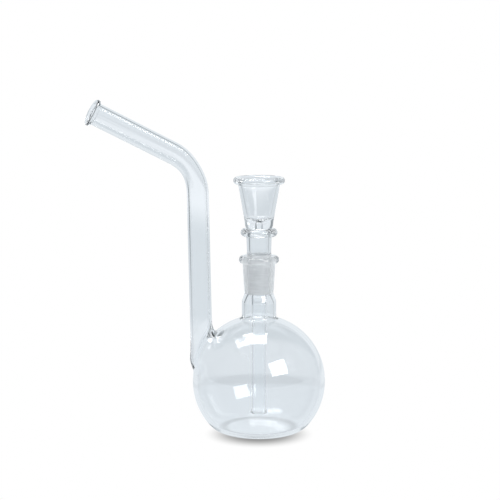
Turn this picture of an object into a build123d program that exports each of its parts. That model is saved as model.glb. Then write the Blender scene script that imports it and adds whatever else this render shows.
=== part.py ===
from build123d import *
import math
import os

# A small clear glass water pipe: a flat-bottomed round flask with a ground neck socket and a bent
# mouthpiece tube, and a lift-out insert made of a bowl, a collar, a ground cone and a downstem.
# Millimetres, +Z up. The origin is the centre of the flask's foot, and the mouthpiece points to -X.
# Glass pieces that are fused together meet face to face along their weld, with no overlap.

# Bulb
bulb_radius = 40.0
bulb_centre_z = 30.8
bulb_wall = 2.0
floor_thickness = 2.4
foot_edge_radius = 14.0
floor_edge_radius = 12.0

# Neck, from the bulb up to the socket
neck_radius = 10.3
neck_bore_radius = 8.7
neck_root_radius = 2.0
neck_weld_z = 73.5
neck_shoulder_z = 80.0
neck_shoulder_radius = 4.0

# Standard 14/23 ground joint: 14.5 wide at the top, 23 long, tapering 1 in 10 on diameter
joint_radius_top = 7.25
joint_length = 23.0
joint_taper = 1 / 20
joint_top_z = 107.3
joint_bottom_z = joint_top_z - joint_length
joint_radius_bottom = joint_radius_top - joint_taper * joint_length
joint_clearance = 0.03

# Socket outside
socket_wall_bottom = 2.6
socket_wall_top = 2.5
socket_bead_section_radius = 2.3
socket_bead_radius = 12.0

# Mouthpiece tube
tube_radius = 6.5
tube_bore_radius = 5.1
tube_foot = Vector(-36.35, 0, 48.2)
tube_corner = Vector(-38.8, 0, 162.8)
tube_bend_radius = 28.0
tube_bend_squeeze = 0.65
tube_weld_z = 79.0
arm_reach = 63.2
arm_rise = 32.2
side_weld_radius = 5.5

# Lip at the mouthpiece end
lip_radius = 8.0
lip_thickness = 2.1
lip_length = 5.0
lip_edge_radius = 0.8
lip_root_radius = 0.6

# Insert: cone and stem
cone_wall_bottom = 1.4
stem_radius_waist = 7.25
stem_waist_z = 110.0
stem_radius = 7.6
stem_bore_radius = 5.7
collar_z = 121.4
collar_radius = 11.05
collar_section_radius = 2.4
collar_seat_half_height = 2.4

# Insert: bowl cup
cup_foot_radius = 8.4
cup_foot_z = 125.6
cup_floor_outer_radius = 8.6
cup_floor_z = 128.0
cup_underside_z = 124.2
cup_hole_radius = 1.65
cup_floor_slope = 2.2
cup_corner_radius = 2.0
cup_shoulder_radius = 12.55
cup_shoulder_z = 149.6
cup_wall = 2.1
rim_radius = 15.35
rim_top_z = 154.6
rim_half_width = 1.9
rim_half_height = 2.1

# Insert: downstem
downstem_radius = 4.8
downstem_bore_radius = 3.6
downstem_end_z = 10.9
downstem_seat = 2.0
downstem_flare = 0.7
downstem_flare_length = 1.8
downstem_edge_radius = 0.4

FROM_AXIS = (Align.MIN, Align.MIN)
STANDING = (Align.CENTER, Align.CENTER, Align.MIN)

tube_direction = (tube_corner - tube_foot).normalized()
arm_direction = Vector(-arm_reach, 0, arm_rise).normalized()
lip_end = tube_corner + Vector(-arm_reach, 0, arm_rise)
lip_start = lip_end - arm_direction * lip_length
tube_weld = tube_foot + tube_direction * ((tube_weld_z - tube_foot.Z) / tube_direction.Z)


def turned(outline):
    """Turns a flat outline, drawn as (distance from the axis, height), about the Z axis."""
    return revolve(Plane.XZ * outline, Axis.Z)


def ring_outline(*corners):
    """A closed outline through the given corners."""
    return make_face(Polyline(*corners, close=True))


def corners_at(outline, radius, height, reach=0.01):
    """The outline's corner points at one place."""
    return outline.vertices().filter_by(lambda v: math.hypot(v.X - radius, v.Y - height) < reach)


def height_on_ball(ball_radius, radius):
    """Height of the ball's upper skin at a distance from the flask's axis."""
    return bulb_centre_z + math.sqrt(ball_radius**2 - radius**2)


def radius_on_ball(ball_radius, height):
    """Distance of the ball's skin from the flask's axis at a height."""
    return math.sqrt(ball_radius**2 - (height - bulb_centre_z) ** 2)


def bulb_body(ball_radius, foot_z, edge_radius, collar_radius_out, root_radius):
    """One skin of the bulb as a full solid: a ball cut flat at the foot, with its neck collar."""
    ball = Pos(0, bulb_centre_z) * Circle(ball_radius)
    half_space = Pos(0, foot_z) * Rectangle(2 * ball_radius, neck_weld_z, align=FROM_AXIS)
    collar_height = neck_weld_z - bulb_centre_z
    collar = Pos(0, bulb_centre_z) * Rectangle(collar_radius_out, collar_height, align=FROM_AXIS)
    outline = (ball & half_space) + collar
    foot_corner = corners_at(outline, radius_on_ball(ball_radius, foot_z), foot_z)
    outline = fillet(foot_corner, edge_radius)
    root_z = height_on_ball(ball_radius, collar_radius_out)
    outline = fillet(corners_at(outline, collar_radius_out, root_z), root_radius)
    return turned(outline)


def side_rod(radius):
    """A round-ended rod along the mouthpiece tube's axis, from the bulb's side up to the tube's weld."""
    length = (tube_weld - tube_foot).length
    rod = Plane(origin=tube_foot, z_dir=tube_direction) * Cylinder(radius, length, align=STANDING)
    return rod + Pos(tube_foot) * Sphere(radius)


def is_side_seam(edge, ball_radius):
    """True for an edge where the spout's skin crosses the bulb's skin, on the upper left shoulder."""
    middle = edge @ 0.5
    on_ball = abs((middle - Vector(0, 0, bulb_centre_z)).length - ball_radius) < 0.001
    return on_ball and middle.X < -bulb_radius / 2 and middle.Z > bulb_centre_z


def with_spout(body, ball_radius, rod, weld_radius):
    """One skin of the bulb joined to its side spout, with the weld between them rounded."""
    joined = body + rod
    seam = joined.edges().filter_by(lambda edge: is_side_seam(edge, ball_radius))
    return fillet(seam, weld_radius)


def flask_bulb():
    neck_wall = neck_radius - neck_bore_radius
    tube_wall = tube_radius - tube_bore_radius
    inner_radius = bulb_radius - bulb_wall
    inner_root_radius = neck_root_radius + neck_wall
    outer = bulb_body(bulb_radius, 0, foot_edge_radius, neck_radius, neck_root_radius)
    inner = bulb_body(inner_radius, floor_thickness, floor_edge_radius, neck_bore_radius, inner_root_radius)
    outer = with_spout(outer, bulb_radius, side_rod(tube_radius), side_weld_radius)
    inner = with_spout(inner, inner_radius, side_rod(tube_bore_radius), side_weld_radius + tube_wall)
    return outer - inner


def neck_socket():
    bottom_radius = joint_radius_bottom + socket_wall_bottom
    top_radius = joint_radius_top + socket_wall_top
    wall = ring_outline(
        (neck_bore_radius, neck_weld_z),
        (neck_radius, neck_weld_z),
        (neck_radius, neck_shoulder_z),
        (bottom_radius, joint_bottom_z),
        (top_radius, joint_top_z - socket_bead_section_radius),
        (top_radius, joint_top_z),
        (joint_radius_top, joint_top_z),
        (joint_radius_bottom, joint_bottom_z),
        (neck_bore_radius, neck_shoulder_z - 1),
    )
    wall = fillet(corners_at(wall, neck_radius, neck_shoulder_z), neck_shoulder_radius)
    bead_centre = socket_bead_radius - socket_bead_section_radius
    bead = Pos(bead_centre, joint_top_z - socket_bead_section_radius) * Circle(socket_bead_section_radius)
    return turned(wall + bead)


def lip_outline():
    """The flange at the mouthpiece end, drawn as (distance from the arm's axis, distance along it)."""
    tube = Pos(tube_bore_radius, 0) * Rectangle(tube_radius - tube_bore_radius, lip_length, align=FROM_AXIS)
    flange_start = lip_length - lip_thickness
    flange = Rectangle(lip_radius - tube_bore_radius, lip_thickness, align=FROM_AXIS)
    outline = tube + Pos(tube_bore_radius, flange_start) * flange
    outline = fillet(corners_at(outline, tube_radius, flange_start), lip_root_radius)
    for radius, height in (
        (lip_radius, flange_start),
        (lip_radius, lip_length),
        (tube_bore_radius, lip_length),
    ):
        outline = fillet(corners_at(outline, radius, height), lip_edge_radius)
    return outline


def across(edge, share):
    """The plane square to an edge at a share of its length, with its X axis in the plane of the bend."""
    return Plane(origin=edge @ share, z_dir=edge % share, x_dir=(edge % share).cross(Vector(0, 1, 0)))


def bent_rod(radius):
    """A solid rod along the mouthpiece tube's path, a little flattened in the middle of its bend."""
    path = FilletPolyline(tube_weld, tube_corner, lip_start, radius=tube_bend_radius)
    rise, bend, arm = path.edges().sort_by(Axis.Z)
    squeezed = Ellipse(radius - tube_bend_squeeze, radius + tube_bend_squeeze / 2)
    start, middle, end = (across(bend, share) for share in (0, 0.5, 1))
    elbow = sweep([start * Circle(radius), middle * squeezed, end * Circle(radius)], bend, multisection=True)
    return sweep(across(rise, 0) * Circle(radius), rise) + elbow + sweep(end * Circle(radius), arm)


def mouthpiece_tube():
    lip = Plane(origin=lip_start, z_dir=arm_direction) * turned(lip_outline())
    return bent_rod(tube_radius) - bent_rod(tube_bore_radius) + lip


def joint_cone():
    cone_radius_top = joint_radius_top - joint_clearance
    cone_radius_bottom = joint_radius_bottom - joint_clearance
    seat_z = joint_bottom_z + downstem_seat
    outline = ring_outline(
        (downstem_radius, joint_bottom_z),
        (cone_radius_bottom, joint_bottom_z),
        (cone_radius_top, joint_top_z),
        (stem_radius_waist, stem_waist_z),
        (stem_radius, collar_z - collar_seat_half_height),
        (stem_radius, collar_z),
        (stem_bore_radius, collar_z),
        (joint_radius_bottom - cone_wall_bottom, seat_z),
        (downstem_radius, seat_z),
    )
    return turned(outline)


def downstem_tube():
    end_radius = downstem_radius + downstem_flare
    top_z = joint_bottom_z + downstem_seat
    outline = ring_outline(
        (downstem_bore_radius, top_z),
        (downstem_radius, top_z),
        (downstem_radius, downstem_end_z + downstem_flare_length),
        (end_radius, downstem_end_z),
        (downstem_bore_radius, downstem_end_z),
    )
    for radius in (end_radius, downstem_bore_radius):
        outline = fillet(corners_at(outline, radius, downstem_end_z), downstem_edge_radius)
    return turned(outline)


def bowl_collar():
    ring = Torus(collar_radius - collar_section_radius, collar_section_radius)
    return Pos(0, 0, collar_z) * (ring - Cylinder(stem_radius, 3 * collar_section_radius))


def bowl_cup():
    rim_centre_radius = rim_radius - rim_half_width
    rim_centre_z = rim_top_z - rim_half_height
    inner_shoulder_radius = cup_shoulder_radius - cup_wall
    funnel_radius = cup_floor_outer_radius - cup_wall
    funnel_z = cup_floor_z + cup_floor_slope
    wall = ring_outline(
        (stem_bore_radius, collar_z),
        (stem_radius, collar_z),
        (stem_radius, collar_z + collar_seat_half_height),
        (cup_foot_radius, cup_foot_z),
        (cup_floor_outer_radius, cup_floor_z),
        (cup_shoulder_radius, cup_shoulder_z),
        (inner_shoulder_radius, cup_shoulder_z),
        (funnel_radius, funnel_z),
        (cup_hole_radius, cup_floor_z),
        (cup_hole_radius, cup_underside_z),
        (stem_bore_radius, cup_underside_z - 1),
    )
    wall = fillet(corners_at(wall, funnel_radius, funnel_z), cup_corner_radius)
    wall = fillet(corners_at(wall, stem_bore_radius, cup_underside_z - 1), cup_corner_radius / 2)
    throat = make_face(
        [
            Line((inner_shoulder_radius, cup_shoulder_z), (cup_shoulder_radius, cup_shoulder_z)),
            Line((cup_shoulder_radius, cup_shoulder_z), (rim_centre_radius, rim_centre_z)),
            Line((rim_centre_radius, rim_centre_z), (rim_centre_radius, rim_top_z)),
            ThreePointArc(
                (rim_centre_radius, rim_top_z),
                (inner_shoulder_radius + cup_wall / 2, rim_centre_z + rim_half_height / 4),
                (inner_shoulder_radius, cup_shoulder_z),
            ),
        ]
    )
    rim = Pos(rim_centre_radius, rim_centre_z) * Ellipse(rim_half_width, rim_half_height)
    return turned(wall + throat + rim)


pieces = {
    "flask_bulb": flask_bulb,
    "neck_socket": neck_socket,
    "mouthpiece_tube": mouthpiece_tube,
    "joint_cone": joint_cone,
    "downstem_tube": downstem_tube,
    "bowl_collar": bowl_collar,
    "bowl_cup": bowl_cup,
}

os.makedirs("parts", exist_ok=True)
for name, make in pieces.items():
    export_step(make(), f"parts/{name}.step")
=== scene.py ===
"""Looks for a small clear glass water pipe: its glass, its materials, the studio and the camera.

Each CAD piece is stood for by a closed glass mesh of the same size, built here from even rings of faces, so
that light bends through it cleanly. Where two pieces are fused, their meshes meet in a weld face that light
passes unbent. Lengths of the object are millimetres, and MM turns them into Blender's metres. The studio's
lengths are metres.
"""

import math

import bpy
import numpy as np
from mathutils import Matrix, Vector


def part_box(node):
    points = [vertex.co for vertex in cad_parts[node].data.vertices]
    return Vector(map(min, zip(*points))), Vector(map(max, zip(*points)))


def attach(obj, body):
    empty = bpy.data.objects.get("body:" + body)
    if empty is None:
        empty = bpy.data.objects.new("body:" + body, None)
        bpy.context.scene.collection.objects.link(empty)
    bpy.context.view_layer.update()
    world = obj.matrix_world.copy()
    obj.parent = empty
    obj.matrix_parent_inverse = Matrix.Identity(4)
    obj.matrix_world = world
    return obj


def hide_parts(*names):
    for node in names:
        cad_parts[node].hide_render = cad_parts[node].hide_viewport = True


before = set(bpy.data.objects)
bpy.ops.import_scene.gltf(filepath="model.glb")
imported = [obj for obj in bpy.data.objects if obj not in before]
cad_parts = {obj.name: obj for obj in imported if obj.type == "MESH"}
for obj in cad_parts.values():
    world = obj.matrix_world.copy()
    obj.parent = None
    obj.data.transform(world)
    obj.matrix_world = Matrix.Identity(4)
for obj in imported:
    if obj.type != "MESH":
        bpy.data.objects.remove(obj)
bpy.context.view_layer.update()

MM = 0.001
CLEAR, GROUND, WELD = range(3)


def limits(node):
    """Lowest and highest corner of a CAD node's box, in millimetres."""
    low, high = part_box(node)
    return np.array(low) / MM, np.array(high) / MM


_, bulb_high = limits("flask_bulb")
socket_low, socket_high = limits("neck_socket")
cone_low, cone_high = limits("joint_cone")
downstem_low, downstem_high = limits("downstem_tube")
collar_low, collar_high = limits("bowl_collar")
_, cup_high = limits("bowl_cup")

# Bulb
bulb_radius = bulb_high[0]
bulb_wall = 2.0
bulb_centre = np.array([0.0, 0.0, 30.8])
floor_thickness = 2.4
foot_edge = 14.0
floor_edge = 12.0

# Neck and its 14/23 ground socket
neck_radius = 10.3
neck_bore = 8.7
neck_root = 2.0
neck_weld_z = socket_low[2]
neck_shoulder_z = 80.0
neck_bore_shoulder_z = neck_shoulder_z - 1.0
joint_top_z = socket_high[2]
joint_bottom_z = cone_low[2]
joint_top = 7.25
joint_bottom = 6.1
joint_gap = 0.03
socket_wall = 2.5
socket_foot_radius = joint_bottom + socket_wall + 0.1
socket_bead = socket_high[0]
socket_bead_height = 4.6

# Mouthpiece tube, drawn in the XZ plane
tube_radius = 6.5
tube_bore = 5.1
tube_foot = np.array([-36.35, 48.2])
tube_corner = np.array([-38.8, 162.8])
tube_weld_z = 79.0
arm = np.array([-63.2, 32.2])
bend_radius = 28.0
bend_squeeze = 0.65
lip_radius = 8.0
lip_thickness = 2.1

# Insert
stem_radius = cone_high[0]
stem_bore = 5.7
stem_waist = 7.25
stem_waist_z = 110.0
stem_neck = stem_waist + 0.1
stem_neck_z = joint_top_z + 1.2
collar_z = cone_high[2]
collar_radius = collar_high[0]
collar_section = (collar_high[2] - collar_low[2]) / 2
collar_reach = 2.4
cup_foot_radius = 8.4
cup_foot_z = 125.6
cup_floor_radius = 8.6
cup_floor_z = 128.0
cup_floor_slope = 2.2
cup_underside_z = 124.2
cup_underside_edge_z = cup_underside_z - 1.0
cup_hole = 1.65
cup_wall = 2.1
cup_shoulder = 12.55
cup_shoulder_z = 149.6
rim_radius = cup_high[0]
rim_top_z = cup_high[2]
rim_height = 4.2
rim_bore_flare = 0.7
downstem_radius = 4.8
downstem_bore = 3.6
downstem_lip = downstem_high[0]
downstem_lip_height = 1.8
downstem_end_z = downstem_low[2]
downstem_seat_z = downstem_high[2]
downstem_seat_bore = joint_bottom - 1.4

# Mesh fineness
COLUMNS = 144
ARC_STEP = math.radians(11)
STRAIGHT = math.radians(1)
SHARP = math.radians(35)
SIDE_STEP = 3.0
COLLAR_POINTS = 31


# ---------------------------------------------------------------- outlines


def unit(vector):
    return vector / np.linalg.norm(vector)


def rounded(corners):
    """A closed outline from its corners, each (radius, place, rounding, finish of the side after it).

    Gives (radius, place, finish) points, with corners drawn as arcs and long sides split into even steps.
    """
    stretches = []
    for i, (radius, place, rounding, finish) in enumerate(corners):
        here = np.array([radius, place], float)
        came = unit(here - np.array(corners[i - 1][:2]))
        leaves = unit(np.array(corners[(i + 1) % len(corners)][:2]) - here)
        turn = math.acos(np.clip(came @ leaves, -1, 1))
        if rounding == 0 or turn < STRAIGHT:
            stretches.append((finish, [here]))
            continue
        inward = unit(leaves - came)
        along = unit(leaves + came)
        centre = here + inward * rounding / math.cos(turn / 2)
        steps = max(2, math.ceil(turn / ARC_STEP))
        angles = np.linspace(-turn / 2, turn / 2, steps + 1)
        arc = [centre + rounding * (along * math.sin(a) - inward * math.cos(a)) for a in angles]
        stretches.append((finish, arc))
    outline = []
    for i, (finish, arc) in enumerate(stretches):
        end = arc[-1]
        after = stretches[(i + 1) % len(stretches)][1][0]
        pieces = max(1, math.ceil(np.linalg.norm(after - end) / SIDE_STEP))
        side = [end + (after - end) * k / pieces for k in range(pieces)]
        outline += [(point[0], point[1], finish) for point in arc[:-1] + side]
    return outline


# ---------------------------------------------------------------- paths that rings are strung on

tube_way = unit(tube_corner - tube_foot)
arm_way = unit(arm)
tube_weld = tube_foot + tube_way * (tube_weld_z - tube_foot[1]) / tube_way[1]
bend_turn = math.acos(tube_way @ arm_way)
bend_reach = bend_radius * math.tan(bend_turn / 2)
rise_length = np.linalg.norm(tube_corner - tube_weld) - bend_reach
bend_length = bend_radius * bend_turn
tube_length = rise_length + bend_length + np.linalg.norm(arm) - bend_reach


def upright(place):
    """The flask's own axis: a point on it, its direction and how far it is flattened, in the XZ plane."""
    return np.array([0.0, place]), np.array([0.0, 1.0]), 0.0


def bent(place):
    """The mouthpiece tube's axis, by distance from its weld: a point, its direction and its flattening."""
    if place <= rise_length:
        return tube_weld + tube_way * place, tube_way, 0.0
    if place >= rise_length + bend_length:
        past = place - rise_length - bend_length
        return tube_corner + arm_way * (bend_reach + past), arm_way, 0.0
    turn = (place - rise_length) / bend_radius
    bend_start = tube_weld + tube_way * rise_length
    left = np.array([-tube_way[1], tube_way[0]])
    way = tube_way * math.cos(turn) + left * math.sin(turn)
    point = bend_start + bend_radius * (tube_way * math.sin(turn) + left * (1 - math.cos(turn)))
    return point, way, bend_squeeze * math.sin(math.pi * turn / bend_turn) ** 2


def ring(path, radius, place, columns):
    """A ring of points round a path, from its +X side towards +Y."""
    (x, z), (way_x, way_z), squeeze = path(place)
    angles = np.arange(columns) * 2 * math.pi / columns
    across = (radius - squeeze) * np.cos(angles)
    side = (radius + squeeze / 2) * np.sin(angles)
    return np.stack([x + across * way_z, side, z - across * way_x], axis=1)


# ---------------------------------------------------------------- meshes


class Glass:
    """The points and faces of one closed glass piece, with a finish for each face."""

    def __init__(self):
        self.points = []
        self.faces = []
        self.finishes = []

    def add(self, points):
        """Adds points and returns their numbers."""
        first = len(self.points)
        self.points.extend(points)
        return np.arange(first, first + len(points))

    def face(self, corners, finish, flip=False):
        self.faces.append(tuple(reversed(corners)) if flip else tuple(corners))
        self.finishes.append(finish)

    def bridge(self, below, above, finish, flip=False, skip=()):
        """Joins two rings with a band of four-sided faces, leaving out the columns in skip."""
        count = len(below)
        for i in range(count):
            if i not in skip:
                j = (i + 1) % count
                self.face((below[i], below[j], above[j], above[i]), finish, flip)

    def fan(self, ring_numbers, centre, finish, flip=False):
        """Closes a ring with triangles to a middle point."""
        middle = self.add([centre])[0]
        count = len(ring_numbers)
        for i in range(count):
            self.face((middle, ring_numbers[(i + 1) % count], ring_numbers[i]), finish, flip)

    def build(self, name, node, body, slot):
        """Makes the Blender object that stands for a CAD node and rides on its body."""
        mesh = bpy.data.meshes.new(name)
        mesh.from_pydata([tuple(point * MM) for point in self.points], [], self.faces)
        for material in (clear_glass, ground_glass, weld):
            mesh.materials.append(material)
        mesh.polygons.foreach_set("material_index", self.finishes)
        mesh.polygons.foreach_set("use_smooth", [True] * len(self.faces))
        mesh.set_sharp_from_angle(angle=SHARP)
        mesh.validate()
        mesh.update()
        piece = bpy.data.objects.new(name, mesh)
        bpy.context.scene.collection.objects.link(piece)
        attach(piece, body)
        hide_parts(node)
        return piece


def ringed(outline, path=upright, columns=COLUMNS):
    """A ring-shaped glass piece: a closed outline carried round a path."""
    glass = Glass()
    rings = [glass.add(ring(path, radius, place, columns)) for radius, place, _ in outline]
    for i, (_, _, finish) in enumerate(outline):
        glass.bridge(rings[i], rings[(i + 1) % len(rings)], finish)
    return glass


# ---------------------------------------------------------------- flask bulb

# Rows and columns of the bulb's skin, and the hole in it that a patch joins to the side spout
FOOT_ROWS = 8
EDGE_ROWS = 7
ROOT_ROWS = 9
BALL_STEP = math.radians(2.5)
ROW_MARGIN = 0.4
LEFT_COLUMN = COLUMNS // 2
HOLE_HALF_WIDTH = 12
HOLE_LOW_ROW = 0
HOLE_HIGH_ROW = 24
SPOUT_COLUMNS = 4 * HOLE_HALF_WIDTH + 2 * (HOLE_HIGH_ROW - HOLE_LOW_ROW)
SPOUT_RINGS = 6
SPOUT_ROOT_Z = 73.0
SPOUT_SOFTNESS = 10.7
PATCH_ROWS = 30
PATCH_PASSES = 200
LANDING_PASSES = 3
LANDING_STEP = 0.01


def skin_rows(ball_radius, foot_z, edge, collar, root):
    """One skin of the bulb, from its foot's middle to the neck weld: (radius, height, row on the ball)."""
    centre_z = bulb_centre[2]
    edge_z = foot_z + edge
    edge_r = math.sqrt((ball_radius - edge) ** 2 - (centre_z - edge_z) ** 2)
    root_r = collar + root
    root_z = centre_z + math.sqrt((ball_radius + root) ** 2 - root_r**2)
    lowest = math.atan2(edge_z - centre_z, edge_r)
    highest = math.atan2(root_z - centre_z, root_r)
    rows = [(edge_r * k / FOOT_ROWS, foot_z, None) for k in range(1, FOOT_ROWS)]
    for angle in np.linspace(-math.pi / 2, lowest, EDGE_ROWS):
        rows.append((edge_r + edge * math.cos(angle), edge_z + edge * math.sin(angle), None))
    first = math.ceil(lowest / BALL_STEP + ROW_MARGIN)
    last = math.floor(highest / BALL_STEP - ROW_MARGIN)
    for number in range(first, last + 1):
        angle = number * BALL_STEP
        height = centre_z + ball_radius * math.sin(angle)
        rows.append((ball_radius * math.cos(angle), height, number))
    for angle in np.linspace(highest, 0, ROOT_ROWS):
        rows.append((root_r - root * math.cos(angle), root_z - root * math.sin(angle), None))
    rows.append((collar, neck_weld_z, None))
    return rows


def smooth_skin(ball_radius, rod_radius):
    """Signed distance to the ball joined softly to the side spout's rod."""
    foot = np.array([tube_foot[0], 0, tube_foot[1]])
    way = np.array([tube_way[0], 0, tube_way[1]])

    def distance(points):
        ball = np.linalg.norm(points - bulb_centre, axis=-1) - ball_radius
        along = np.clip((points - foot) @ way, 0, None)
        rod = np.linalg.norm(points - foot - along[..., None] * way, axis=-1) - rod_radius
        near = np.clip(1 - np.abs(ball - rod) / SPOUT_SOFTNESS, 0, None)
        return np.minimum(ball, rod) - near**2 * SPOUT_SOFTNESS / 4

    return distance


def onto(distance, points):
    """Moves points onto the surface where a distance is zero."""
    steps = LANDING_STEP * np.eye(3)
    for _ in range(LANDING_PASSES):
        here = distance(points)
        rises = [distance(points + step) - distance(points - step) for step in steps]
        slope = np.stack(rises, axis=-1) / (2 * LANDING_STEP)
        points = points - (here / (slope**2).sum(-1))[..., None] * slope
    return points


def hole_loop(rings):
    """The points round the hole left for the spout, from its upper middle towards +Y."""
    left, right = LEFT_COLUMN - HOLE_HALF_WIDTH, LEFT_COLUMN + HOLE_HALF_WIDTH
    top, bottom = rings[HOLE_HIGH_ROW], rings[HOLE_LOW_ROW]
    loop = [top[column] for column in range(LEFT_COLUMN, left, -1)]
    loop += [rings[row][left] for row in range(HOLE_HIGH_ROW, HOLE_LOW_ROW, -1)]
    loop += [bottom[column] for column in range(left, right)]
    loop += [rings[row][right] for row in range(HOLE_LOW_ROW, HOLE_HIGH_ROW)]
    loop += [top[column] for column in range(right, LEFT_COLUMN, -1)]
    return loop


def add_skin(glass, rows, distance, rod_radius, flip):
    """Adds one skin of the bulb with its side spout, and returns its rings at the neck and spout welds."""
    hole = range(LEFT_COLUMN - HOLE_HALF_WIDTH, LEFT_COLUMN + HOLE_HALF_WIDTH)
    rings = [glass.add(ring(upright, radius, height, COLUMNS)) for radius, height, _ in rows]
    on_ball = {number: numbers for (_, _, number), numbers in zip(rows, rings) if number is not None}
    glass.fan(rings[0], np.array([0, 0, rows[0][1]]), CLEAR, flip)
    for (_, _, number), below, above in zip(rows, rings, rings[1:]):
        in_hole = number is not None and HOLE_LOW_ROW <= number < HOLE_HIGH_ROW
        glass.bridge(below, above, CLEAR, flip, hole if in_hole else ())
    loop = hole_loop(on_ball)
    edge = np.array([glass.points[i] for i in loop])
    root_place = (SPOUT_ROOT_Z - tube_weld_z) / tube_way[1]
    root = ring(bent, rod_radius, root_place, SPOUT_COLUMNS)
    share = np.linspace(0, 1, PATCH_ROWS + 1)[:, None, None]
    patch = edge * (1 - share) + root * share
    for _ in range(PATCH_PASSES):
        middle = patch[1:-1]
        around = np.roll(middle, 1, axis=1) + np.roll(middle, -1, axis=1) + patch[:-2] + patch[2:]
        patch[1:-1] = onto(distance, around / 4)
    below = np.array(loop)
    for row in patch[1:]:
        above = glass.add(row)
        glass.bridge(below, above, CLEAR, flip)
        below = above
    for place in np.linspace(root_place, 0, SPOUT_RINGS)[1:]:
        above = glass.add(ring(bent, rod_radius, place, SPOUT_COLUMNS))
        glass.bridge(below, above, CLEAR, flip)
        below = above
    return rings[-1], below


def flask_bulb():
    glass = Glass()
    outer_rows = skin_rows(bulb_radius, 0, foot_edge, neck_radius, neck_root)
    outer_skin = smooth_skin(bulb_radius, tube_radius)
    inner_radius = bulb_radius - bulb_wall
    inner_root = neck_root + neck_radius - neck_bore
    inner_rows = skin_rows(inner_radius, floor_thickness, floor_edge, neck_bore, inner_root)
    inner_skin = smooth_skin(inner_radius, tube_bore)
    outer_neck, outer_spout = add_skin(glass, outer_rows, outer_skin, tube_radius, False)
    inner_neck, inner_spout = add_skin(glass, inner_rows, inner_skin, tube_bore, True)
    glass.bridge(outer_neck, inner_neck, WELD)
    glass.bridge(outer_spout, inner_spout, WELD)
    return glass


# ---------------------------------------------------------------- other pieces


def neck_socket():
    bead_low = joint_top_z - socket_bead_height
    return ringed(
        rounded(
            [
                (neck_bore, neck_weld_z, 0, WELD),
                (neck_radius, neck_weld_z, 0, CLEAR),
                (neck_radius, neck_shoulder_z, 4.0, CLEAR),
                (socket_foot_radius, joint_bottom_z, 2.0, CLEAR),
                (joint_top + socket_wall, bead_low, 0.4, CLEAR),
                (socket_bead, bead_low, 2.2, CLEAR),
                (socket_bead, joint_top_z, 2.2, CLEAR),
                (joint_top, joint_top_z, 0.3, GROUND),
                (joint_bottom, joint_bottom_z, 0.6, CLEAR),
                (neck_bore, neck_bore_shoulder_z, 1.5, CLEAR),
            ]
        )
    )


def mouthpiece_tube():
    flange = tube_length - lip_thickness
    return ringed(
        rounded(
            [
                (tube_bore, 0, 0, WELD),
                (tube_radius, 0, 0, CLEAR),
                (tube_radius, flange, 0.6, CLEAR),
                (lip_radius, flange, 0.8, CLEAR),
                (lip_radius, tube_length, 0.8, CLEAR),
                (tube_bore, tube_length, 0.8, CLEAR),
            ]
        ),
        bent,
        SPOUT_COLUMNS,
    )


def collar_contact():
    """Half the height over which the collar is fused to the stem."""
    middle = collar_radius - collar_section
    return math.sqrt(collar_section**2 - (middle - stem_radius) ** 2)


def joint_cone():
    contact = collar_contact()
    return ringed(
        rounded(
            [
                (downstem_radius, joint_bottom_z, 0, CLEAR),
                (joint_bottom - joint_gap, joint_bottom_z, 0.4, GROUND),
                (joint_top - joint_gap, joint_top_z, 0, GROUND),
                (stem_neck, stem_neck_z, 1.5, CLEAR),
                (stem_waist, stem_waist_z, 2.0, CLEAR),
                (stem_radius, collar_z - collar_reach, 1.0, CLEAR),
                (stem_radius, collar_z - contact, 0, WELD),
                (stem_radius, collar_z, 0, WELD),
                (stem_bore, collar_z, 0, CLEAR),
                (downstem_seat_bore, downstem_seat_z, 0, WELD),
                (downstem_radius, downstem_seat_z, 0, WELD),
            ]
        )
    )


def downstem_tube():
    return ringed(
        rounded(
            [
                (downstem_bore, downstem_end_z, 0.4, CLEAR),
                (downstem_lip, downstem_end_z, 0.4, CLEAR),
                (downstem_radius, downstem_end_z + downstem_lip_height, 1.0, CLEAR),
                (downstem_radius, joint_bottom_z, 0, WELD),
                (downstem_radius, downstem_seat_z, 0, WELD),
                (downstem_seat_bore, downstem_seat_z, 0, CLEAR),
                (downstem_bore, downstem_seat_z, 0.3, CLEAR),
            ]
        )
    )


def bowl_collar():
    contact = collar_contact()
    middle = collar_radius - collar_section
    reach = math.atan2(contact, stem_radius - middle)
    angles = np.linspace(-reach, reach, COLLAR_POINTS)
    outline = [
        (middle + collar_section * math.cos(a), collar_z + collar_section * math.sin(a), CLEAR)
        for a in angles
    ]
    outline[0] = (stem_radius, collar_z - contact, CLEAR)
    outline[-1] = (stem_radius, collar_z + contact, WELD)
    outline.append((stem_radius, collar_z, WELD))
    return ringed(outline)


def bowl_cup():
    contact = collar_contact()
    rim_low = rim_top_z - rim_height
    shoulder_bore = cup_shoulder - cup_wall
    return ringed(
        rounded(
            [
                (stem_bore, collar_z, 0, WELD),
                (stem_radius, collar_z, 0, WELD),
                (stem_radius, collar_z + contact, 0, CLEAR),
                (stem_radius, collar_z + collar_reach, 0.5, CLEAR),
                (cup_foot_radius, cup_foot_z, 2.0, CLEAR),
                (cup_floor_radius, cup_floor_z, 2.0, CLEAR),
                (cup_shoulder, rim_low, 0.8, CLEAR),
                (rim_radius, rim_low, 1.9, CLEAR),
                (rim_radius, rim_top_z, 1.9, CLEAR),
                (shoulder_bore + rim_bore_flare, rim_top_z, 2.9, CLEAR),
                (shoulder_bore, cup_shoulder_z, 3.0, CLEAR),
                (cup_floor_radius - cup_wall, cup_floor_z + cup_floor_slope, 2.0, CLEAR),
                (cup_hole, cup_floor_z, 0.6, CLEAR),
                (cup_hole, cup_underside_z, 0.6, CLEAR),
                (stem_bore, cup_underside_edge_z, 1.0, CLEAR),
            ]
        )
    )


# ---------------------------------------------------------------- materials

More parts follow.
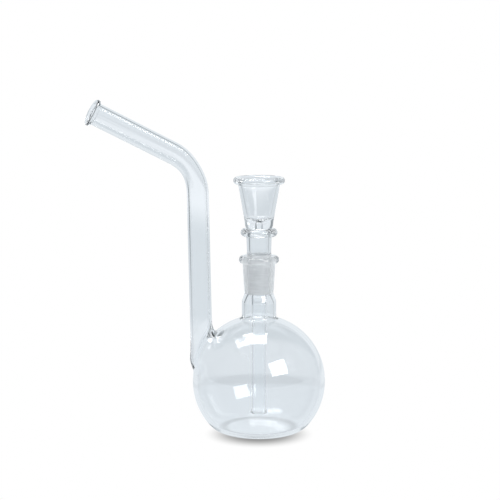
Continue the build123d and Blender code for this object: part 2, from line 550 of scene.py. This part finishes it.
GLASS_IOR = 1.47
CLEAR_TONE = (0.985, 0.993, 0.998, 1)
FROST_DARK = (0.80, 0.82, 0.835, 1)
FROST_LIGHT = (0.92, 0.94, 0.955, 1)
GRINDING_SCALE = (150, 150, 1500)
EDGE_POWER = 2.5


class Nodes:
    """A short way to write a node tree."""

    def __init__(self, owner):
        owner.use_nodes = True
        self.tree = owner.node_tree
        self.tree.nodes.clear()

    def set(self, socket, value):
        """Gives a socket a plain value, or links another node's output to it."""
        if isinstance(value, bpy.types.NodeSocket):
            self.tree.links.new(value, socket)
        else:
            socket.default_value = value

    def add(self, kind, inputs=None, **settings):
        """A node with its settings and inputs set."""
        made = self.tree.nodes.new("ShaderNode" + kind)
        for name, value in settings.items():
            setattr(made, name, value)
        for name, value in (inputs or {}).items():
            self.set(made.inputs[name], value)
        return made

    def maths(self, operation, *values, clamp=False):
        inputs = dict(enumerate(values))
        return self.add("Math", inputs, operation=operation, use_clamp=clamp).outputs[0]

    def smooth(self, value, low, high, low_value=0.0, high_value=1.0):
        """A smooth change from one value to another between two limits."""
        inputs = {
            "Value": value,
            "From Min": low,
            "From Max": high,
            "To Min": low_value,
            "To Max": high_value,
        }
        return self.add("MapRange", inputs, interpolation_type="SMOOTHSTEP").outputs[0]

    def scaled(self, vector, scale):
        return self.add("VectorMath", {0: vector, "Scale": scale}, operation="SCALE").outputs[0]

    def mix_colour(self, share, first, second):
        inputs = {0: share, 6: first, 7: second}
        return self.add("Mix", inputs, data_type="RGBA").outputs[2]

    def mix_shader(self, share, first, second):
        return self.add("MixShader", {0: share, 1: first, 2: second}).outputs[0]

    def finish(self, shader, kind="OutputMaterial"):
        self.add(kind, {"Surface": shader})


def lets_light_through(nodes, shader, head_on, aslant):
    """Shadow and diffuse rays pass unbent, dimmed to head_on where the glass faces them, aslant at edges."""
    path = nodes.add("LightPath").outputs
    facing = nodes.add("LayerWeight", {"Blend": 0.5}).outputs["Facing"]
    steep = nodes.maths("POWER", facing, EDGE_POWER)
    tint = nodes.mix_colour(steep, (head_on, head_on, head_on, 1), (aslant, aslant, aslant, 1))
    passing = nodes.add("BsdfTransparent", {"Color": tint}).outputs[0]
    share = nodes.maths("MAXIMUM", path["Is Shadow Ray"], path["Is Diffuse Ray"])
    return nodes.mix_shader(share, shader, passing)


def glass_shader(nodes, tone, roughness, transmission):
    """Borosilicate glass."""
    inputs = {
        "Roughness": roughness,
        "IOR": GLASS_IOR,
        "Transmission Weight": transmission,
        "Base Color": tone,
    }
    return nodes.add("BsdfPrincipled", inputs).outputs[0]


def make_clear_glass():
    """Fire-polished glass, almost colourless, with a slight coolness."""
    material = bpy.data.materials.new("clear_glass")
    nodes = Nodes(material)
    glass = glass_shader(nodes, CLEAR_TONE, roughness=0.0, transmission=1.0)
    nodes.finish(lets_light_through(nodes, glass, head_on=0.8, aslant=0.45))
    return material


def make_ground_glass():
    """White frost, with fine rings left by the grinding."""
    material = bpy.data.materials.new("ground_glass")
    nodes = Nodes(material)
    place = nodes.add("TexCoord").outputs["Object"]
    stretched = nodes.add("Mapping", {"Vector": place, "Scale": GRINDING_SCALE}).outputs[0]
    rings = nodes.add("TexNoise", {"Vector": stretched, "Scale": 1.0, "Detail": 2.0}).outputs[0]
    tone = nodes.mix_colour(nodes.smooth(rings, 0.3, 0.7), FROST_DARK, FROST_LIGHT)
    glass = glass_shader(nodes, tone, roughness=0.6, transmission=0.55)
    nodes.finish(lets_light_through(nodes, glass, head_on=0.75, aslant=0.4))
    return material


def make_weld():
    """The face where two pieces are fused: light passes it unbent."""
    material = bpy.data.materials.new("weld")
    nodes = Nodes(material)
    nodes.finish(nodes.add("BsdfTransparent").outputs[0])
    return material


clear_glass = make_clear_glass()
ground_glass = make_ground_glass()
weld = make_weld()

flask_bulb().build("flask_bulb_glass", "flask_bulb", "flask", "clear_glass")
neck_socket().build("neck_socket_glass", "neck_socket", "flask", "ground_glass")
mouthpiece = mouthpiece_tube().build("mouthpiece_tube_glass", "mouthpiece_tube", "flask", "clear_glass")
joint_cone().build("joint_cone_glass", "joint_cone", "bowl_insert", "ground_glass")
downstem_tube().build("downstem_tube_glass", "downstem_tube", "bowl_insert", "clear_glass")
bowl_collar().build("bowl_collar_glass", "bowl_collar", "bowl_insert", "clear_glass")
bowl_cup().build("bowl_cup_glass", "bowl_cup", "bowl_insert", "clear_glass")


# ---------------------------------------------------------------- camera

CAMERA_AZIMUTH = math.radians(-20)
CAMERA_TILT = math.radians(8)
CAMERA_DISTANCE = 920.0
CAMERA_HEIGHT = 240.0
CAMERA_SHIFT = -5.4
SENSOR_WIDTH = 36
FOCAL_LENGTH = 111.6
NEAREST_SEEN = 0.01
FARTHEST_SEEN = 100
right = Vector((math.cos(CAMERA_AZIMUTH), math.sin(CAMERA_AZIMUTH), 0))
toward = Vector((math.sin(CAMERA_AZIMUTH), -math.cos(CAMERA_AZIMUTH), 0))
up = Vector((0, 0, 1))


def make_camera():
    data = bpy.data.cameras.new("camera")
    data.sensor_width = SENSOR_WIDTH
    data.lens = FOCAL_LENGTH
    data.clip_start = NEAREST_SEEN
    data.clip_end = FARTHEST_SEEN
    camera = bpy.data.objects.new("camera", data)
    bpy.context.scene.collection.objects.link(camera)
    camera.location = (toward * CAMERA_DISTANCE + up * CAMERA_HEIGHT + right * CAMERA_SHIFT) * MM
    look = -toward * math.cos(CAMERA_TILT) - up * math.sin(CAMERA_TILT)
    camera.rotation_mode = "QUATERNION"
    camera.rotation_quaternion = look.to_track_quat("-Z", "Y")
    bpy.context.scene.camera = camera
    bpy.context.view_layer.update()
    return camera


camera = make_camera()


# ---------------------------------------------------------------- lamps

LAMP_DISTANCE = 1.0
LAMP_RADIANCE = 12.0


def from_camera(across, high, near):
    """A direction given by its parts to the camera's right, upwards and towards the camera."""
    return (right * across + up * high + toward * near).normalized()


def softbox(name, way, width_way, width_share, depth_share):
    """A rectangular lamp carried by the camera, facing the bulb but turned square to its width axis.

    Its width and depth are shares of its distance.
    """
    data = bpy.data.lights.new(name, "AREA")
    data.shape = "RECTANGLE"
    data.size = width_share * LAMP_DISTANCE
    data.size_y = depth_share * LAMP_DISTANCE
    data.energy = LAMP_RADIANCE * math.pi * data.size * data.size_y
    lamp = bpy.data.objects.new(name, data)
    bpy.context.scene.collection.objects.link(lamp)
    back = (way - width_way * way.dot(width_way)).normalized()
    axes = Matrix((width_way, back.cross(width_way), back)).transposed().to_4x4()
    place = Matrix.Translation(Vector(bulb_centre) * MM + way * LAMP_DISTANCE) @ axes
    lamp.visible_camera = False
    lamp.visible_diffuse = False
    lamp.parent = camera
    lamp.matrix_parent_inverse = camera.matrix_world.inverted()
    lamp.matrix_basis = place
    return lamp


def light_only(lamp, piece, state):
    """Makes a lamp light one piece alone (INCLUDE), or everything but that piece (EXCLUDE)."""
    lit = bpy.data.collections.new(lamp.name + "_lights")
    lit.objects.link(piece)
    lit.collection_objects[0].light_linking.link_state = state
    lamp.light_linking.receiver_collection = lit


def make_lamps():
    """A wide lamp above, a front lamp at the right, and a slim one that draws the line along the arm."""
    softbox(
        "softbox_above",
        way=from_camera(-0.21, 1.0, -0.02),
        width_way=from_camera(1, 0, 0),
        width_share=0.78,
        depth_share=0.42,
    )
    arm_lamp = softbox(
        "softbox_arm",
        way=from_camera(0.611, 0.791, 0.04),
        width_way=Vector((arm_way[0], 0, arm_way[1])),
        width_share=0.5,
        depth_share=0.10,
    )
    front_lamp = softbox(
        "softbox_front",
        way=from_camera(0.533, 0.51, 0.675),
        width_way=from_camera(0.773, 0.018, -0.634),
        width_share=0.52,
        depth_share=0.41,
    )
    light_only(arm_lamp, mouthpiece, "INCLUDE")
    light_only(front_lamp, mouthpiece, "EXCLUDE")


# ---------------------------------------------------------------- room and floor

# What the glass shows of the room. The limits are parts of a direction, where one tone passes into the next.
WHITE = (1, 1, 1, 1)
BEHIND_CAMERA_TONE = (0.05, 0.06, 0.07, 1)
LEFT_TONE = (0.23, 0.26, 0.28, 1)
RIGHT_TONE = (0.46, 0.50, 0.53, 1)
CEILING_TONE = (0.14, 0.16, 0.17, 1)
BACKDROP_TONE = (0.81, 0.86, 0.90, 1)
DIFFUSE_TONE = (1.45, 1.47, 1.48, 1)
RIGHTWARDS = (0.25, 0.6)
FORWARDS = (-0.2, 0.3)
UPWARDS = (0.5, 0.9)
BACKDROP_FORWARDS = (0.68, 0.78)
BACKDROP_TOP_FORWARDS = (0.28, 0.42)
BACKDROP_TOP_UPWARDS = (0.62, 0.75)

# What the glass shows of the floor. Distances from the middle of the foot are metres.
FOOT_TONE = (0.785, 0.835, 0.88, 1)
FLOOR_TONES = (
    (0.120, 0.130, (0.725, 0.77, 0.81, 1)),
    (0.148, 0.165, (0.80, 0.845, 0.885, 1)),
    (0.300, 0.400, (0.70, 0.75, 0.79, 1)),
    (0.900, 1.300, (0.89, 0.93, 0.97, 1)),
    (2.000, 2.800, (0.77, 0.81, 0.85, 1)),
)
# Painted shadow: a darker ring on the floor round the foot's edge, seen only through the glass
FOOT_SHADOW_RING_INSIDE = (0.018, 0.021)
FOOT_SHADOW_RING_OUTSIDE = (0.022, 0.027)
FOOT_SHADOW_RING_TONE = 0.65
DIM_SIDEWAYS = (0.62, 0.72)
DIM_FORWARDS = (0.1, 0.35)
DIM_DISTANCES = (0.2, 1.0)
DIM_NEAR_SHARE = 0.3

# The painted soft shadow that the camera sees round the foot, and the floor itself, in metres
SHADOW_SHIFT = 0.009
SHADOW_REACH = (0.012, 0.034)
SHADOW_DARKEST = 0.3
FLOOR_REACH = 12.0
FLOOR_DROP = 0.00005


def ray_parts(nodes, way):
    """How far a direction goes to the camera's right, ahead of the camera, and up."""
    seen = nodes.add(
        "VectorTransform", {0: way}, vector_type="VECTOR", convert_from="WORLD", convert_to="CAMERA"
    ).outputs[0]
    side, _, ahead = nodes.add("SeparateXYZ", {0: seen}).outputs
    height = nodes.add("SeparateXYZ", {0: way}).outputs[2]
    return side, ahead, height


def room_tone(nodes, side, ahead, height):
    """The dim room: darkest behind the camera, brighter to the right than to the left, dark overhead."""
    beside = nodes.mix_colour(nodes.smooth(side, *RIGHTWARDS), LEFT_TONE, RIGHT_TONE)
    room = nodes.mix_colour(nodes.smooth(ahead, *FORWARDS), BEHIND_CAMERA_TONE, beside)
    return nodes.mix_colour(nodes.smooth(height, *UPWARDS), room, CEILING_TONE)


def make_world():
    """White to the camera. The glass shows a pale backdrop behind it and a dim room in front."""
    world = bpy.data.worlds.new("studio")
    bpy.context.scene.world = world
    nodes = Nodes(world)
    side, ahead, height = ray_parts(nodes, nodes.add("TexCoord").outputs["Generated"])
    top_upwards = nodes.smooth(height, *BACKDROP_TOP_UPWARDS)
    top_forwards = nodes.smooth(ahead, *BACKDROP_TOP_FORWARDS)
    top = nodes.maths("MULTIPLY", top_upwards, top_forwards)
    backdrop = nodes.maths("MAXIMUM", nodes.smooth(ahead, *BACKDROP_FORWARDS), top)
    path = nodes.add("LightPath").outputs
    tone = nodes.mix_colour(backdrop, room_tone(nodes, side, ahead, height), BACKDROP_TONE)
    tone = nodes.mix_colour(path["Is Diffuse Ray"], tone, DIFFUSE_TONE)
    shown = nodes.mix_colour(path["Is Camera Ray"], tone, WHITE)
    nodes.finish(nodes.add("Background", {"Color": shown, "Strength": 1.0}).outputs[0], "OutputWorld")


def floor_through_glass(nodes, place, path):
    """A pale table in bands of tone, with a painted shadow ring under the foot, dim where it is seen
    sideways.
    """
    distance = nodes.add("VectorMath", {0: place}, operation="LENGTH").outputs["Value"]
    tone = FOOT_TONE
    for start, end, after in FLOOR_TONES:
        tone = nodes.mix_colour(nodes.smooth(distance, start, end), tone, after)
    # Painted shadow ring round the foot's edge
    shadow_ring_inside = nodes.smooth(distance, *FOOT_SHADOW_RING_INSIDE, 1.0, FOOT_SHADOW_RING_TONE)
    shadow_ring_outside = nodes.smooth(distance, *FOOT_SHADOW_RING_OUTSIDE, FOOT_SHADOW_RING_TONE, 1.0)
    tone = nodes.scaled(tone, nodes.maths("MAXIMUM", shadow_ring_inside, shadow_ring_outside))
    back = nodes.add("NewGeometry").outputs["Incoming"]
    side, ahead, height = ray_parts(nodes, nodes.scaled(back, -1.0))
    sideways = nodes.smooth(nodes.maths("ABSOLUTE", side), *DIM_SIDEWAYS)
    forwards = nodes.smooth(ahead, *DIM_FORWARDS)
    farther = nodes.smooth(distance, *DIM_DISTANCES, DIM_NEAR_SHARE, 1.0)
    aslant = nodes.maths("MULTIPLY", nodes.maths("MULTIPLY", sideways, forwards), farther)
    dim = nodes.maths("SUBTRACT", aslant, path["Is Diffuse Ray"], clamp=True)
    return nodes.mix_colour(dim, tone, room_tone(nodes, side, ahead, height))


def floor_to_camera(nodes, place):
    """White, with a painted soft shadow round the foot that leans towards the camera."""
    middle = tuple(toward * SHADOW_SHIFT)
    away = nodes.add("VectorMath", {0: place, 1: middle}, operation="DISTANCE").outputs["Value"]
    # Painted shadow: the floor's white darkens smoothly nearer a point just in front of the foot.
    shadow = nodes.smooth(away, *SHADOW_REACH, SHADOW_DARKEST, 1.0)
    return nodes.add("CombineColor", {0: shadow, 1: shadow, 2: shadow}).outputs[0]


def floor_material():
    """The floor gives out its own light, so that its tone is even and its painted shadow soft."""
    material = bpy.data.materials.new("floor")
    nodes = Nodes(material)
    place = nodes.add("TexCoord").outputs["Object"]
    path = nodes.add("LightPath").outputs
    through_glass = floor_through_glass(nodes, place, path)
    shown = nodes.mix_colour(path["Is Camera Ray"], through_glass, floor_to_camera(nodes, place))
    nodes.finish(nodes.add("Emission", {"Color": shown}).outputs[0])
    return material


def make_floor():
    """A plain floor, a hair below the foot."""
    corners = [(x * FLOOR_REACH, y * FLOOR_REACH, 0) for x, y in ((-1, -1), (1, -1), (1, 1), (-1, 1))]
    data = bpy.data.meshes.new("floor")
    data.from_pydata(corners, [], [(0, 1, 2, 3)])
    data.materials.append(floor_material())
    floor = bpy.data.objects.new("floor", data)
    bpy.context.scene.collection.objects.link(floor)
    floor.location.z = -FLOOR_DROP


make_lamps()
make_world()
make_floor()


# ---------------------------------------------------------------- light through glass

# Light is followed through many glass faces, because a tight curve bounces it round many times
MOST_BOUNCES = 96
MOST_CLEAR_FACES = 64
BRIGHTEST_BOUNCE = 5.0

scene = bpy.context.scene
scene.view_settings.view_transform = "Standard"
scene.view_settings.look = "None"
scene.cycles.max_bounces = MOST_BOUNCES
scene.cycles.transmission_bounces = MOST_BOUNCES
scene.cycles.glossy_bounces = MOST_BOUNCES
scene.cycles.transparent_max_bounces = MOST_CLEAR_FACES
scene.cycles.sample_clamp_indirect = BRIGHTEST_BOUNCE
